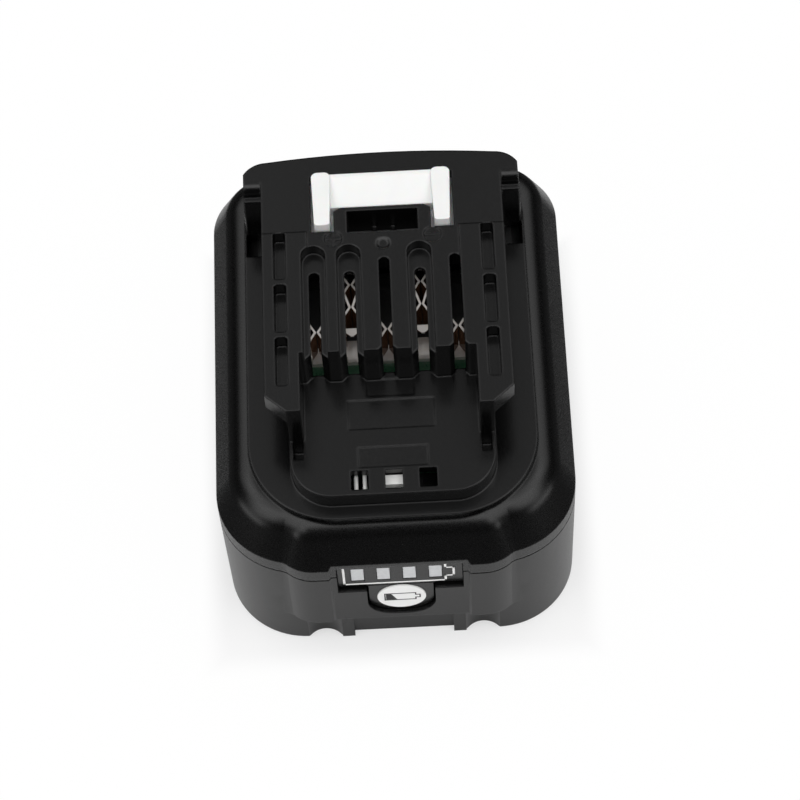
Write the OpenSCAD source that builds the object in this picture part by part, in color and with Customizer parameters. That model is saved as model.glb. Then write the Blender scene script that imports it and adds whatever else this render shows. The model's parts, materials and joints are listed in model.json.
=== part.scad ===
// Slide-on battery pack for hand-held power tools, in millimetres.
// +Z is up, -Y is the side with the charge gauge, and the origin is on the ground under the middle.

/* [Cells] */
// Diameter of one sleeved cell
cell_d = 18.4; // [17.8:0.1:19]
// Length of one cell, with its positive cap
cell_l = 65.2; // [62:0.1:70]
// Gap between neighbouring cells
cell_gap = 0.5; // [0.4:0.1:1.2]
// Thickness of the cell holders around each cell
holder_rim = 0.6; // [0.5:0.1:1]
// Length of each cell holder
holder_l = 23.5; // [22:0.5:26]

/* [Housing] */
// Wall thickness
wall = 2.4; // [2.2:0.1:2.8]
// Floor thickness
floor_t = 2; // [1.6:0.1:3]
// Thickness of the deck above the cells
deck_t = 1.9; // [1.7:0.1:2.6]
// Room between the cell holders and the side walls
side_room = 1.9; // [1.5:0.1:4]
// Room in front of the cells for the charge gauge
front_room = 10.75; // [10.75:0.05:14]
// Room behind the cells for the rear screws
back_room = 8.55; // [8.5:0.05:12]
// Height of the seam between the housings
seam_z = 28; // [27:0.5:29]
// Height of the upright band between the seam and the shoulder
band_h = 3.7; // [3:0.1:4.4]
// Lean of the shoulder from the upright, in degrees
shoulder_lean = 25; // [20:1:28]
// Radius at the top of the shoulder
shoulder_r = 5; // [4.4:0.1:5.6]
// Plan radius of the front corners
front_corner_r = 15; // [14:0.5:16]
// Plan radius of the back corners
back_corner_r = 11; // [10:0.5:12]
// Taper of the lower housing on each side
draft = 0.2; // [0.1:0.1:0.7]
// How far the gauge pads stand out of the front wall
pad_proud = 1.95; // [1.6:0.05:2.2]

/* [Tool interface] */
// Height of the rails above the deck
rail_h = 14.8; // [14:0.1:17]
// Width over both rails
rail_w = 44.4; // [43.6:0.1:46]
// Thickness of the rails
rail_t = 4.2; // [3.8:0.1:5]
// Height of the front floor above the deck
plateau_h = 3.8; // [3.4:0.1:5]
// Pitch of the terminal slots
slot_pitch = 6.45; // [6.2:0.05:6.6]
// Width of a terminal slot
slot_w = 1.95; // [1.7:0.05:2.3]
// Width of the wide recesses around three of the slots
recess_w = 4.4; // [3.8:0.1:4.6]

/* [Latch] */
// Downward travel of the release latch
latch_travel = 3.6; // [3:0.1:4]
// Height of the latch posts above the tower
latch_rise = 1.8; // [1.2:0.1:2.4]
// Wire radius of the latch springs
spring_wire_r = 0.35; // [0.25:0.05:0.4]

/* [Charge gauge] */
// Pitch of the gauge windows
window_pitch = 4.75; // [4:0.05:4.8]
// Width of one gauge window
window_w = 2.5; // [2:0.1:3]
// Height of one gauge window
window_h = 4.8; // [4:0.1:5.2]
// Inward travel of the check button
button_travel = 0.4; // [0.2:0.05:0.45]
// Diameter of the white disc on the check button
disc_d = 9; // [7:0.1:10]

/* [Hidden] */
$fn = 64;

// Gap around moving pieces and between fixed pieces
clear = 0.3;
fit = 0.1;
// Overshoot of cutting shapes
cut = 1;
// How far a line and a hollow run into the round that they meet
line_sink = 0.002;
hollow_sink = 0.08;

function exact(v) = round(v * 1000) / 1000;

// Cells: three columns in two layers
cell_pitch = cell_d + cell_gap;
cell_r = cell_d / 2;
low_z = floor_t + holder_rim + cell_r;
high_z = low_z + cell_pitch;
columns = [-1, 0, 1];
layers = [low_z, high_z];

// Housing outline
half_w = cell_pitch + cell_r + holder_rim + side_room + wall;
pack_l = front_room + cell_l + back_room;
front_y = -pack_l / 2;
back_y = pack_l / 2;
cell_y0 = front_y + front_room;
cell_y1 = cell_y0 + cell_l;
base_y = front_y + pad_proud;
face_set = 0.5;
face_y = front_y + face_set;
cell_top_gap = 0.4;
roof_z = high_z + cell_r + cell_top_gap;
deck_z = roof_z + deck_t;
deck_step = 1.5;
shoulder_z = deck_z - deck_step;
shoulder_h = shoulder_z - seam_z;
shoulder_run = (shoulder_r + (shoulder_h - shoulder_r - band_h) * sin(shoulder_lean)) / cos(shoulder_lean);
inner_shoulder_r = shoulder_r - 2;
inner_band_h = band_h + 1.6;
shoulder_t = 1;
roof_edge_t = 0.8;
holder_top_gap = 0.6;
holder_top = shoulder_z - shoulder_t - holder_top_gap;
bottom_edge = 0.3;
seam_groove = [0.4, 0.35];
lip_h = 1.4;
lip_t = 1;
lip_fit = 0.15;

// Front pads, feet and notches of the lower housing
pad_z = seam_z - 17.5;
pad_step_x = 12.4;
pad_x = pad_step_x + 3.1;
rib_x = 9.4;
rib_w = 2.4;
notch_r = 3.9;
notch_x = 15;
notch_y = base_y - 2.1;
skirt_y = base_y + 1.1;
toe_y = base_y + 4.1;
toe_x = notch_x + notch_r + wall;
pad_floor_t = 1;

// Each pad ends in a round about pad_centre, which a hollow of the same radius about
// hollow_centre joins to the front corner of the pack
pad_end_r = exact(shoulder_run) + 0.05;
corner_centre = [half_w - front_corner_r, base_y + front_corner_r];
pad_centre = [pad_x, front_y + pad_end_r];
corner_way = norm(pad_centre - corner_centre);
corner_dir = (pad_centre - corner_centre) / corner_way;
hollow_way = front_corner_r + pad_end_r;
hollow_along = (pow(hollow_way, 2) - pow(2 * pad_end_r, 2) + pow(corner_way, 2)) / (2 * corner_way);
hollow_across = sqrt(pow(hollow_way, 2) - pow(hollow_along, 2));
hollow_centre = [
    exact(corner_centre[0] + hollow_along * corner_dir[0] - hollow_across * corner_dir[1]),
    exact(corner_centre[1] + hollow_along * corner_dir[1] + hollow_across * corner_dir[0]),
];

// Deck, rails, block and tower
deck_inset = 6.7;
deck_x = half_w - deck_inset;
deck_y0 = front_y + 5.15;
deck_y1 = back_y - deck_inset;
deck_front_r = 16;
deck_back_r = 9;
rail_top = deck_z + rail_h;
rail_raise = 0.3;
block_top = rail_top - rail_raise;
rail_x = rail_w / 2;
arm_x = 2 * slot_pitch + 2.95;
web_x = arm_x + 2.6;
stop_y = back_y - 17.95;
rail_y0 = stop_y - 47.1;
rail_nose = [rail_x - web_x, 3.3];
block_y0 = stop_y - 35.2;
step_y = stop_y - 9.6;
plate_x = arm_x - 1.95;
tower_y1 = back_y - 10.75;
tower_corner_r = 5;
tower_bow_r = 200;
tower_taper = 0.7;
tower_x = deck_x - 0.2;
tower_edge_r = 2.2;
plateau_z = deck_z + plateau_h;
plateau_y0 = deck_y0 + 2.7;
plateau_r = 7.5;
plateau_t = 1.8;
plateau_wall = 1.2;

// Small openings of the upper housing
rail_pocket = [2.25, 10, rail_t - 1];
rail_pocket_x = 19;
rail_pocket_r = 0.6;
rail_pocket_gap = 1.1;
end_pocket_x = [arm_x + 0.15, arm_x + 2.05];
end_pocket_l = 3.8;
end_pocket_depth = 1;
side_hole_x = [rail_x + 0.7, deck_x - 0.4];
side_hole_l = 5.1;
peep_size = [3.1, 3.8];
peep_pitch = 6.15;
peep_y0 = plateau_y0 + 1.1;
mark_depth = 0.15;
sign_r = 1.65;
sign_at = [9.1, stop_y - 11.3];
sign_depth = 0.3;
dimple_y = stop_y - 12.7;
window_x = 6.5;
window_y = [stop_y - 10.2, stop_y - 5.5];
window_depth = 7;
window_rib = [0.8, 1.5];

// Terminals
slot_columns = [-2, -1, 0, 1, 2];
slot_wide = [true, true, false, true, false];
slot_end_wide = stop_y - 16.9;
slot_end_plain = stop_y - 15.75;
recess_end = stop_y - 12.7;
recess_depth = 2.5;
funnel_w = slot_w + 1.5;
room_x = arm_x - 0.85;
room_front_r = 4;
room_y1 = stop_y - 12.4;
block_wall = 1.4;
room_top = block_top - 3.6;

// Main board and what stands on it
board_t = 1.6;
board_z = roof_z + 0.7;
board_top = board_z + board_t;
board_x = room_x - clear;
board_y0 = cell_y0 + 3.5;
board_y1 = room_y1 - clear;
board_screw_at = [cell_pitch / 2, board_y0 + 6];
rest_x = 4.5;
rest_w = 2;
rest_l = 1.4;
rest_sink = 1.2;
carrier_y0 = block_y0 + block_wall + clear;
carrier_h = 3.9;
carrier_slot_w = 4;
carrier_back_t = 1;
carrier_floor_t = 0.8;
chip = [5.2, 5, 1.1];
chip_gap = 1.2;
chip_pitch = 3.2;
small_chip = [1.2, 1.8, 0.6];
contact_t = 0.4;
leaf_h = 8;
leaf_foot_h = 2.4;
leaf_gap = 0.05;
leaf_spread = 1.25;
leaf_bow = 1.65;
foot_t = 0.2;
tail_y = [carrier_y0 + 3.5, carrier_y0 + 5.7];
power_pinches = [stop_y - 17.6, stop_y - 22.4];
signal_pinches = [stop_y - 27.4];
power_leaf_end = stop_y - 27.8;
signal_leaf_end = stop_y - 29.4;
power_foot_l = 2.4;
signal_foot_l = 1.2;
strap_h = 6.4;
lead_r = 0.4;
lead_z = board_top + lead_r;
lead_y = plateau_y0 + plateau_wall + lead_r + fit;
lead_end_z = seam_z + 1;
lead_drop = 3;
lead_x = [-6.9, -5.3, 1.4];
lead_start = board_y0 + 2.4;
tongue_board_x = 2.6;
socket = [4.1, 1.9, 1.5];
socket_y = peep_y0 + 1.7;

// Latch
roof_t = 2.5;
latch_roof = block_top - roof_t;
latch_room_x = 14.8;
latch_room_y = [stop_y - 10.9, stop_y + 3.9];
latch_core_x = 7.6;
latch_core_y1 = stop_y - 4.7;
post_x = [9.2, 12.8];
post_y = [stop_y - 9.4, stop_y + 2.1];
post_taper = 0.4;
post_r = 1.2;
sill_chamfer = [1.3, 0.7];
bar_y = [latch_core_y1 + clear, stop_y + 1.7];
bar_drop = 0.4;
post_top = block_top + latch_rise;
latch_plate_t = 3.1;
latch_plate_top = latch_roof - clear;
latch_plate_z = latch_plate_top - latch_plate_t;
thumb_x = 8.6;
thumb_y = [tower_y1 + clear, tower_y1 + 2.8];
thumb_h = 4.8;
thumb_gap = 0.8;
thumb_skin = 1.2;
thumb_z = [deck_z + latch_travel + thumb_gap, deck_z + latch_travel + thumb_gap + thumb_h];
arm_half_x = 6;
arm_z = [thumb_z[0] + 1.2, thumb_z[1] - 1.4];
spring_r = 2.2;
spring_turns = 6;
spring_at = [(latch_core_x + latch_room_x) / 2, stop_y - 6.8];

// Charge gauge: a bar with four windows and a tongue that is the check button
bar_x = 11.55;
bar_z = [seam_z - 6.2, seam_z + 3.5];
tongue_x = 6.3;
tongue_z = [seam_z - 16, seam_z - 5.4];
tongue_r = 5;
gauge_face = face_y + 0.9;
bezel_t = 1;
bezel_back = gauge_face + bezel_t;
bay_y = face_y + 2.75;
bay_x = 11.2;
bay_z = [seam_z - 16.6, seam_z + 4.6];
window_z = seam_z - 1.1;
window_x0 = -0.65;
windows = [-1.5, -0.5, 0.5, 1.5];
lens_t = 0.8;
disc_z = seam_z - 10.3;
disc_t = 0.25;
flange_t = 0.8;
flange_rim = 0.9;
flange_y = bay_y + clear;
gauge_board_t = 1;
gauge_board_y = flange_y + 2.75;
gauge_board_x = 13;
gauge_board_z = [seam_z - 16.5, seam_z + 3];
gauge_post = [2, 3, 24];
led_size = [1.8, 0.8, 1.4];
switch_size = 4.6;
switch_h = 1.1;
plunger_r = 0.9;

// Screws that join the housings
screw_r = 1.45;
screw_head_r = 2.4;
screw_head_h = 2;
screw_seat_z = 16;
boss_r = 3.4;
bore_r = 2.6;
shank_gap = 0.05;
boss_top = seam_z + band_h + 1.2;
screw_tip = boss_top - 0.8;
screw_at = [
    [-half_w + 11.5, front_y + 6.65],
    [half_w - 11.5, front_y + 6.65],
    [-half_w + 13, back_y - 4.45],
    [half_w - 13, back_y - 4.45],
];

// Strips and sheets at the ends of the cells
strip_t = 0.2;
strip_w = 8;
tab_w = 3;
sheet_t = 0.3;
sheet_gap = 3;

black = [0.10, 0.10, 0.11];
white = [0.93, 0.93, 0.92];
metal = [0.75, 0.75, 0.76];
copper = [0.80, 0.62, 0.42];
green = [0.13, 0.42, 0.25];
sleeve = [0.20, 0.45, 0.55];
paper = [0.85, 0.83, 0.74];

// Shared shapes

module box(x, y, z) {
    translate([x[0], y[0], z[0]])
        cube([x[1] - x[0], y[1] - y[0], z[1] - z[0]]);
}

module along_y(y) {
    translate([0, y[1], 0])
        rotate([90, 0, 0])
            linear_extrude(y[1] - y[0])
                children();
}

module along_x(x) {
    translate([x[0], 0, 0])
        rotate([90, 0, 90])
            linear_extrude(x[1] - x[0])
                children();
}

module rise(z) {
    translate([0, 0, z[0]])
        linear_extrude(z[1] - z[0])
            children();
}

module rounded_square(x, y, r) {
    translate([x[0] + r, y[0]])
        square([x[1] - x[0] - 2 * r, y[1] - y[0]]);
    translate([x[0], y[0] + r])
        square([x[1] - x[0], y[1] - y[0] - 2 * r]);
    for (px = [x[0] + r, x[1] - r])
        for (py = [y[0] + r, y[1] - r])
            translate([px, py])
                circle(r);
}

// Plan of the pack with different corner radii at the front and the back
module pack_plan(x, y, front_r, back_r) {
    translate([-x, y[0] + front_r])
        square([2 * x, y[1] - y[0] - front_r - back_r]);
    translate([-x + front_r, y[0]])
        square([2 * (x - front_r), front_r + cut]);
    translate([-x + back_r, y[1] - back_r - cut])
        square([2 * (x - back_r), back_r + cut]);
    for (side = [-1, 1]) {
        translate([side * (x - front_r), y[0] + front_r])
            circle(front_r);
        translate([side * (x - back_r), y[1] - back_r])
            circle(back_r);
    }
}

// Carries an edge section round the plan; the section is drawn outwards for the radius $edge_r
module wrapped(x, y, front_r, back_r, h) {
    core_y = [y[0] + front_r, y[1] - back_r];
    for (side = [-1, 1]) {
        translate([side * (x - front_r), core_y[0], 0])
            rotate(side > 0 ? 270 : 180)
                rotate_extrude(angle = 90)
                    let ($edge_r = front_r) children();
        translate([side * (x - back_r), core_y[1], 0])
            rotate(side > 0 ? 0 : 90)
                rotate_extrude(angle = 90)
                    let ($edge_r = back_r) children();
    }
    side_x = x - back_r;
    translate([side_x, core_y[1], 0])
        rotate([90, 0, 0])
            linear_extrude(core_y[1] - core_y[0])
                let ($edge_r = back_r) children();
    translate([-side_x, core_y[0], 0])
        rotate([90, 0, 180])
            linear_extrude(core_y[1] - core_y[0])
                let ($edge_r = back_r) children();
    translate([x - front_r, core_y[0], 0])
        rotate([90, 0, -90])
            linear_extrude(2 * (x - front_r))
                let ($edge_r = front_r) children();
    translate([-side_x, core_y[1], 0])
        rotate([90, 0, 90])
            linear_extrude(2 * side_x)
                let ($edge_r = back_r) children();
    box([-side_x, side_x], core_y, [0, h]);
}

// Section of the shoulder: upright up to band, then leaning, then a round of radius r
module shoulder_edge(h, band, r) {
    run = exact((r + (h - r - band) * sin(shoulder_lean)) / cos(shoulder_lean));
    centre = [$edge_r - run, h - r];
    reach = r - line_sink;
    touch = centre + [exact(reach * cos(shoulder_lean)), exact(reach * sin(shoulder_lean))];
    polygon([[0, 0], [$edge_r, 0], [$edge_r, band], touch, centre, [centre[0], h], [0, h]]);
    translate(centre)
        intersection() {
            circle(r);
            square(r);
        }
}

module tray_edge() {
    polygon([
        [0, 0], [$edge_r - draft - bottom_edge, 0], [$edge_r - draft, bottom_edge],
        [$edge_r, seam_z], [0, seam_z],
    ]);
}

// Outer shapes of the housings

module dome() {
    translate([0, 0, seam_z])
        wrapped(half_w, [base_y, back_y], front_corner_r, back_corner_r, shoulder_h)
            shoulder_edge(shoulder_h, band_h, shoulder_r);
}

module tray() {
    wrapped(half_w, [base_y, back_y], front_corner_r, back_corner_r, seam_z)
        tray_edge();
}

// What is taken off the pads so that the gauge face lies deeper
module pad_step_plan() {
    x = pad_step_x + face_set;
    polygon([
        [-x, front_y - cut], [-x, front_y], [-pad_step_x, face_y],
        [pad_step_x, face_y], [x, front_y], [x, front_y - cut],
    ]);
}

// Plan of both pads, drawn smaller by inset
module pad_plan(inset) {
    difference() {
        union() {
            translate([-pad_x, front_y + inset])
                square([2 * pad_x, pad_end_r - inset]);
            for (side = [0, 1])
                mirror([side, 0]) {
                    translate(pad_centre)
                        circle(pad_end_r - inset);
                    difference() {
                        polygon([pad_centre, hollow_centre, corner_centre]);
                        translate(hollow_centre)
                            circle(pad_end_r + inset + hollow_sink);
                    }
                }
        }
        translate([0, inset])
            pad_step_plan();
    }
}

module pads_upper() {
    far = exact(hollow_way) + cut;
    difference() {
        translate([0, 0, seam_z]) {
            translate([pad_x, pad_centre[1], 0])
                rotate([90, 0, -90])
                    linear_extrude(2 * pad_x)
                        let ($edge_r = pad_end_r) shoulder_edge(shoulder_h, band_h, shoulder_r);
            for (side = [0, 1])
                mirror([side, 0, 0]) {
                    translate([pad_centre[0], pad_centre[1], 0])
                        rotate_extrude()
                            let ($edge_r = pad_end_r) shoulder_edge(shoulder_h, band_h, shoulder_r);
                    intersection() {
                        linear_extrude(shoulder_h)
                            polygon([pad_centre, hollow_centre, corner_centre]);
                        translate([hollow_centre[0], hollow_centre[1], 0])
                            rotate_extrude()
                                translate([far, 0])
                                    mirror([1, 0])
                                        let ($edge_r = far - pad_end_r - hollow_sink)
                                            shoulder_edge(shoulder_h, band_h, shoulder_r);
                    }
                }
        }
        rise([seam_z - cut, shoulder_z + cut])
            pad_step_plan();
    }
}

// Shadow line along the seam
module seam_line() {
    rise([seam_z - cut, seam_z + seam_groove[1]])
        difference() {
            translate([-pack_l, -pack_l])
                square(2 * pack_l);
            pack_plan(half_w - seam_groove[0], [base_y + seam_groove[0], back_y - seam_groove[0]],
                      front_corner_r - seam_groove[0], back_corner_r - seam_groove[0]);
            pad_plan(seam_groove[0]);
        }
}

module deck() {
    rise([shoulder_z - deck_step, deck_z])
        pack_plan(deck_x, [deck_y0, deck_y1], deck_front_r, deck_back_r);
}

module rails() {
    for (side = [0, 1])
        mirror([side, 0, 0]) {
            rise([rail_top - rail_t, block_top])
                polygon([
                    [arm_x, rail_y0], [rail_x - rail_nose[0], rail_y0],
                    [rail_x, rail_y0 + rail_nose[1]], [rail_x, stop_y + cut], [arm_x, stop_y + cut],
                ]);
            rise([block_top - cut, rail_top])
                polygon([
                    [plate_x, block_y0], [arm_x, block_y0], [arm_x, rail_y0],
                    [rail_x - rail_nose[0], rail_y0], [rail_x, rail_y0 + rail_nose[1]],
                    [rail_x, step_y], [plate_x, step_y],
                ]);
            box([arm_x, web_x], [rail_y0, stop_y + cut], [deck_z - cut, block_top]);
        }
}

module block() {
    box([-arm_x - cut, arm_x + cut], [block_y0, stop_y + cut], [deck_z - cut, block_top]);
}

module tower() {
    bow_x = tower_x - tower_corner_r;
    bow = exact(tower_bow_r - sqrt(pow(tower_bow_r, 2) - pow(bow_x, 2)));
    intersection() {
        rise([deck_z - cut, block_top]) {
            pack_plan(tower_x, [stop_y, tower_y1 - bow], 0.2, tower_corner_r);
            intersection() {
                translate([-bow_x - clear, stop_y])
                    square([2 * (bow_x + clear), tower_y1 - stop_y]);
                translate([0, tower_y1 - tower_bow_r])
                    circle(tower_bow_r, $fn = 400);
            }
        }
        along_y([stop_y - cut, tower_y1 + cut])
            polygon([
                [-tower_x, deck_z - cut], [tower_x, deck_z - cut],
                [tower_x - tower_taper, block_top], [-tower_x + tower_taper, block_top],
            ]);
    }
}

module plateau() {
    rise([deck_z - cut, plateau_z])
        pack_plan(web_x, [plateau_y0, block_y0 + 2 * cut], plateau_r, cut);
}

// Cuts of the housings

module tower_edges() {
    r = tower_edge_r;
    for (side = [0, 1])
        mirror([side, 0, 0])
            along_x([rail_x, tower_x + cut])
                difference() {
                    translate([stop_y - cut, block_top - r])
                        square([r + cut, r + cut]);
                    translate([stop_y + r, block_top - r])
                        circle(r);
                }
}

module cell_room(z) {
    rise(z)
        pack_plan(half_w - wall, [base_y + wall, back_y - wall], front_corner_r - wall, back_corner_r - wall);
}

module dome_room() {
    h = shoulder_h - shoulder_t + cut;
    rise([seam_z, roof_z])
        pack_plan(deck_x - roof_edge_t, [deck_y0 + roof_edge_t, deck_y1 - roof_edge_t],
                  deck_front_r - roof_edge_t, deck_back_r - roof_edge_t);
    translate([0, 0, seam_z - cut])
        wrapped(half_w - wall, [base_y + wall, back_y - wall],
                front_corner_r - wall, back_corner_r - wall, h)
            shoulder_edge(h, inner_band_h + cut, inner_shoulder_r);
}

module lip_plan(grow) {
    pack_plan(half_w - wall + grow, [base_y + wall - grow, back_y - wall + grow],
              front_corner_r - wall + grow, back_corner_r - wall + grow);
}

module gauge_bay() {
    box([-bay_x, bay_x], [bay_y, base_y + wall + cut], bay_z);
}

module tongue_plan(gap) {
    x = tongue_x - gap;
    z = [tongue_z[0] + gap, tongue_z[1] - gap];
    r = tongue_r - gap;
    translate([-x, z[0] + r])
        square([2 * x, z[1] - z[0] - r]);
    translate([-x + r, z[0]])
        square([2 * (x - r), r + cut]);
    for (side = [-1, 1])
        translate([side * (x - r), z[0] + r])
            circle(r);
}

module gauge_recess() {
    box([-bar_x, bar_x], [front_y - cut, bezel_back], bar_z);
    along_y([front_y - cut, bay_y + cut])
        tongue_plan(0);
    light_x = windows[3] * window_pitch + window_w / 2 + 0.4;
    light_z = window_h / 2 + 0.4;
    box([window_x0 - light_x, window_x0 + light_x], [bezel_back - cut, bay_y + cut],
        [window_z - light_z, window_z + light_z]);
}

module rail_pockets() {
    pitch = rail_pocket[1] + rail_pocket_gap;
    r = rail_pocket[0] / 2;
    for (side = [-1, 1])
        for (i = [0:2]) {
            y1 = step_y - i * pitch;
            rise([rail_top - rail_pocket[2], rail_top + cut])
                rounded_square([side * rail_pocket_x - r, side * rail_pocket_x + r],
                               [y1 - rail_pocket[1], y1], rail_pocket_r);
        }
}

module deck_holes() {
    for (side = [0, 1])
        mirror([side, 0, 0]) {
            box(end_pocket_x, [rail_y0 - end_pocket_l, rail_y0],
                [deck_z - end_pocket_depth, rail_top + cut]);
            box(side_hole_x, [stop_y - side_hole_l, stop_y], [roof_z - 4 * cut, deck_z + cut]);
        }
    for (i = [-1, 0, 1])
        box([i * peep_pitch - peep_size[0] / 2, i * peep_pitch + peep_size[0] / 2],
            [peep_y0, peep_y0 + peep_size[1]], [roof_z, plateau_z + cut]);
}

// Shallow rectangles left by the mould inserts
module insert_marks() {
    z = [plateau_z - mark_depth, plateau_z + cut];
    box([-7.8, 7.8], [block_y0 - 10.2, block_y0 - 4.2], z);
    box([-6.3, 6.3], [block_y0 - 18, block_y0 - 13.9], z);
    box([-4.3, 4.3], [block_y0 - 3.5, block_y0], z);
}

module pole_marks() {
    bar = [0.9 * sign_r, 0.2 * sign_r];
    for (side = [-1, 1])
        translate([side * sign_at[0], sign_at[1], block_top - sign_depth])
            difference() {
                cylinder(h = sign_depth + cut, r = sign_r);
                box([-bar[0], bar[0]], [-bar[1], bar[1]], [-cut, sign_depth]);
                if (side < 0)
                    box([-bar[1], bar[1]], [-bar[0], bar[0]], [-cut, sign_depth]);
            }
    translate([0, dimple_y, block_top - sign_depth])
        cylinder(h = sign_depth + cut, r1 = sign_r / 2, r2 = 2 * sign_r);
}

module terminal_room() {
    box([-room_x, room_x], [block_y0 + block_wall, room_y1], [roof_z - cut, room_top]);
    rise([roof_z - cut, plateau_z - plateau_t])
        pack_plan(room_x, [plateau_y0 + plateau_wall, block_y0 + 2 * block_wall], room_front_r, fit);
}

// Slot with a round end at the back
module slot_plan(w, end) {
    translate([-w / 2, block_y0 - cut])
        square([w, end - w / 2 - block_y0 + cut]);
    translate([0, end - w / 2])
        circle(w / 2);
}

// Slanted mouth of a slot, w wide at the front
module funnel_plan(w) {
    y1 = block_y0 + (w - slot_w) / 2;
    polygon([
        [-w / 2, block_y0 - cut], [w / 2, block_y0 - cut], [w / 2, block_y0],
        [slot_w / 2, y1], [-slot_w / 2, y1], [-w / 2, block_y0],
    ]);
}

module terminal_slots() {
    for (i = [0:4])
        translate([slot_columns[i] * slot_pitch, 0, 0]) {
            rise([plateau_z, block_top + cut]) {
                slot_plan(slot_w, slot_wide[i] ? slot_end_wide : slot_end_plain);
                funnel_plan(slot_wide[i] ? recess_w : funnel_w);
            }
            if (slot_wide[i])
                rise([block_top - recess_depth, block_top + cut])
                    slot_plan(recess_w, recess_end);
        }
}

module latch_room_plan(gap) {
    difference() {
        translate([-latch_room_x + gap, latch_room_y[0] + gap])
            square([2 * (latch_room_x - gap), latch_room_y[1] - latch_room_y[0] - 2 * gap]);
        translate([-latch_core_x - gap, latch_room_y[0] - cut])
            square([2 * (latch_core_x + gap), latch_core_y1 - latch_room_y[0] + cut + gap]);
    }
}

module latch_opening() {
    rise([roof_z - cut, latch_roof])
        latch_room_plan(0);
    for (side = [0, 1])
        mirror([side, 0, 0]) {
            box([post_x[0] - clear, post_x[1] + clear], [post_y[0] - clear, post_y[1] + clear],
                [latch_roof - cut, block_top + cut]);
            rise([latch_roof - cut, block_top + cut])
                polygon([
                    [post_x[0], bar_y[0]], [post_x[0] - clear - sill_chamfer[0], bar_y[0]],
                    [post_x[0] - clear - sill_chamfer[0], bar_y[0] - clear],
                    [post_x[0] - clear, bar_y[0] - clear - sill_chamfer[1]],
                    [post_x[0], bar_y[0] - clear - sill_chamfer[1]],
                ]);
        }
    box([-post_x[0], post_x[0]], [bar_y[0] - clear, bar_y[1] + clear], [latch_roof - cut, block_top + cut]);
    box([-thumb_x - clear, thumb_x + clear], [latch_room_y[1] - cut, tower_y1 + cut],
        [deck_z, thumb_z[1] + 1.2]);
}

module release_window() {
    difference() {
        box([-window_x, window_x], window_y, [block_top - window_depth, block_top + cut]);
        for (x = [-1.6, 1.9])
            box([x - window_rib[0] / 2, x + window_rib[0] / 2], [window_y[0] - cut, window_y[1] + cut],
                [block_top - window_depth - cut, block_top - window_depth + window_rib[1]]);
    }
}

// Housings

module upper_housing() color(black) {
    difference() {
        union() {
            difference() {
                union() {
                    dome();
                    pads_upper();
                    deck();
                    rails();
                    block();
                    tower();
                    plateau();
                }
                dome_room();
                rise([seam_z - cut, seam_z + lip_h + lip_fit])
                    lip_plan(lip_t + lip_fit);
            }
            for (at = screw_at)
                translate([at[0], at[1], seam_z])
                    cylinder(h = boss_top - seam_z, r = boss_r);
        }
        for (at = screw_at)
            translate([at[0], at[1], seam_z - cut])
                cylinder(h = screw_tip + 0.4 - seam_z + cut, r = screw_r + shank_gap);
        gauge_bay();
        gauge_recess();
        rail_pockets();
        deck_holes();
        insert_marks();
        pole_marks();
        terminal_room();
        terminal_slots();
        latch_opening();
        release_window();
        tower_edges();
        seam_line();
    }
}

module lip() {
    difference() {
        rise([seam_z - cut, seam_z + lip_h])
            difference() {
                lip_plan(lip_t);
                lip_plan(0);
            }
        for (at = screw_at)
            translate([at[0], at[1], seam_z])
                cylinder(h = lip_h + cut, r = boss_r + lip_fit);
    }
}

module gauge_board_posts() {
    groove = 0.6;
    groove_y = [gauge_board_y - fit, gauge_board_y + gauge_board_t + fit];
    for (side = [0, 1])
        mirror([side, 0, 0])
            difference() {
                box([gauge_board_x - groove, gauge_board_x - groove + gauge_post[0]],
                    [gauge_board_y - fit - 1, gauge_board_y + gauge_post[1] - 1],
                    [floor_t - cut, floor_t + gauge_post[2]]);
                box([0, gauge_board_x + fit], groove_y, [gauge_board_z[0], seam_z]);
            }
}

module lower_housing() color(black) {
    difference() {
        union() {
            difference() {
                union() {
                    tray();
                    rise([pad_z, seam_z])
                        pad_plan(0);
                    for (side = [0, 1])
                        mirror([side, 0, 0])
                            box([rib_x, rib_x + rib_w], [base_y - 0.05, toe_y], [0, pad_z + cut]);
                }
                difference() {
                    cell_room([floor_t, seam_z + cut]);
                    box([-toe_x, toe_x], [front_y, toe_y], [0, pad_z + pad_floor_t]);
                }
                box([-rib_x, rib_x], [front_y - cut, skirt_y], [-cut, pad_z]);
                for (side = [-1, 1])
                    translate([side * notch_x, notch_y, -cut])
                        cylinder(h = pad_z + cut, r = notch_r);
            }
            lip();
            gauge_board_posts();
            for (at = screw_at)
                translate([at[0], at[1], 0])
                    cylinder(h = seam_z, r = boss_r);
        }
        gauge_bay();
        gauge_recess();
        for (at = screw_at)
            translate([at[0], at[1], -cut]) {
                cylinder(h = screw_seat_z + cut, r = bore_r);
                cylinder(h = seam_z + 2 * cut, r = screw_r + 2 * fit);
            }
    }
}

// Latch: hook with two posts and a wedge, thumb button, springs and their seat

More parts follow.
